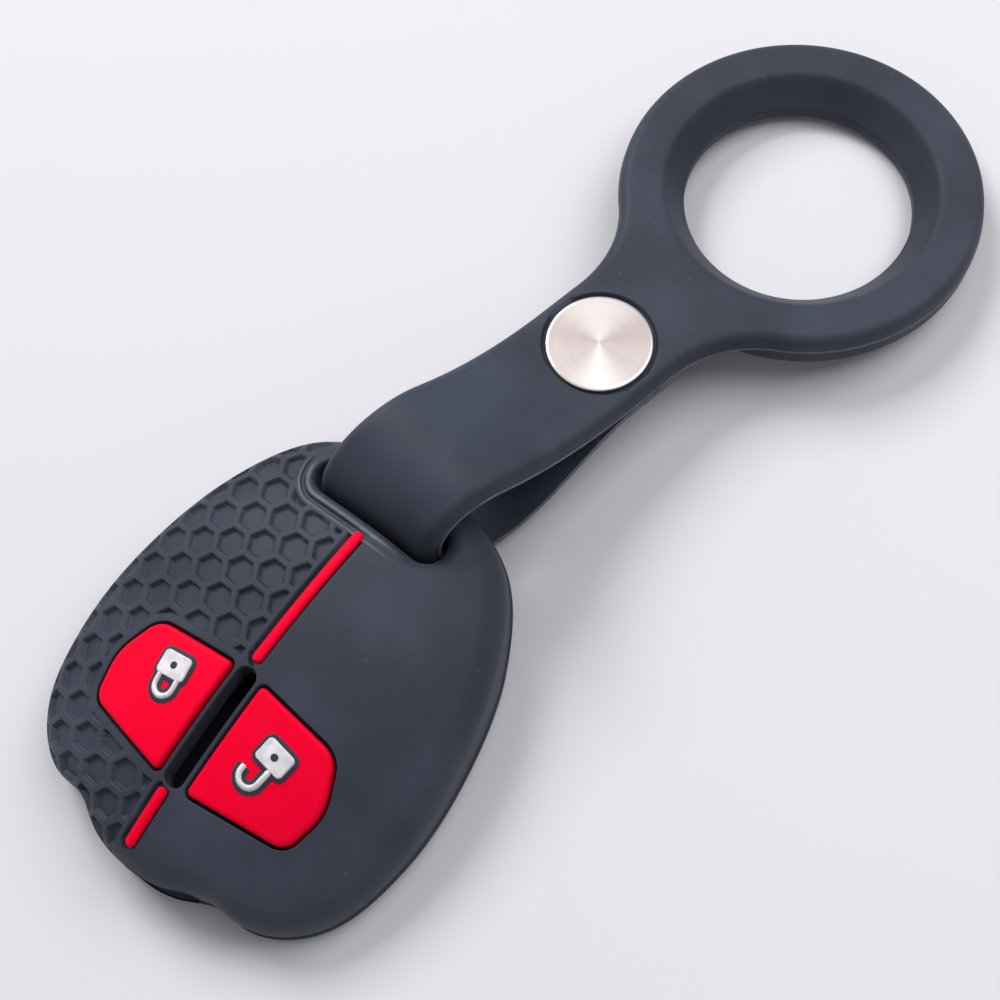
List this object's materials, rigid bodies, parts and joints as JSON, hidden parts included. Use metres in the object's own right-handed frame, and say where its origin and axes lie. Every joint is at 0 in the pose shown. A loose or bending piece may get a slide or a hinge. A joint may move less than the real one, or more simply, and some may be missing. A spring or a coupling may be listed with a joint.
{
  "type": "key fob cover",
  "caption": "Domed silicone key fob cover with honeycomb grip, red press pads and stripes, and a looped snap strap ending in a carrying ring.",
  "frame": {"origin": "on the flat back of the cover, under the top end of the slit between the pads, on the cover's middle line", "axes": "+Y from the chin to the ring end, +X to the right seen from the front, +Z out of the domed front"},
  "size_m": [0.0559, 0.1266, 0.0186],
  "materials": {
    "dark_silicone": "matte navy-black moulded silicone",
    "red_silicone": "matte bright red silicone",
    "spun_steel": "circular spun bright steel",
    "plated_steel": "plain plated steel"
  },
  "bodies": {
    "cover": {"cover_shell": "dark_silicone", "upper_stripe": "red_silicone", "lower_stripe": "red_silicone"},
    "lock_key": {"lock_pad": "red_silicone"},
    "unlock_key": {"unlock_pad": "red_silicone"},
    "strap": {"strap_loop": "dark_silicone", "strap_ring": "dark_silicone", "snap_cap": "spun_steel", "snap_socket": "plated_steel"},
    "tail": {"strap_tail": "dark_silicone", "snap_stud": "plated_steel", "snap_post": "plated_steel"}
  },
  "joints": [
    {"name": "lock_press", "type": "slide", "parent": "cover", "child": "lock_key", "axis": [0, 0, -1], "range_m": [0, 0.0006], "stiffness_N_per_m": 1500},
    {"name": "unlock_press", "type": "slide", "parent": "cover", "child": "unlock_key", "axis": [0, 0, -1], "range_m": [0, 0.0006], "stiffness_N_per_m": 1500},
    {"name": "strap_swing", "type": "hinge", "parent": "cover", "child": "strap", "pos_m": [0, 0.0268, 0.0082], "axis": [1, 0, 0], "range_deg": [-80, 65], "deforming": ["strap_loop"]},
    {"name": "snap_open", "type": "hinge", "parent": "strap", "child": "tail", "pos_m": [0.00431, 0.04317, 0.00557], "axis": [-0.9806, 0.1959, 0], "range_deg": [0, 60]}
  ]
}
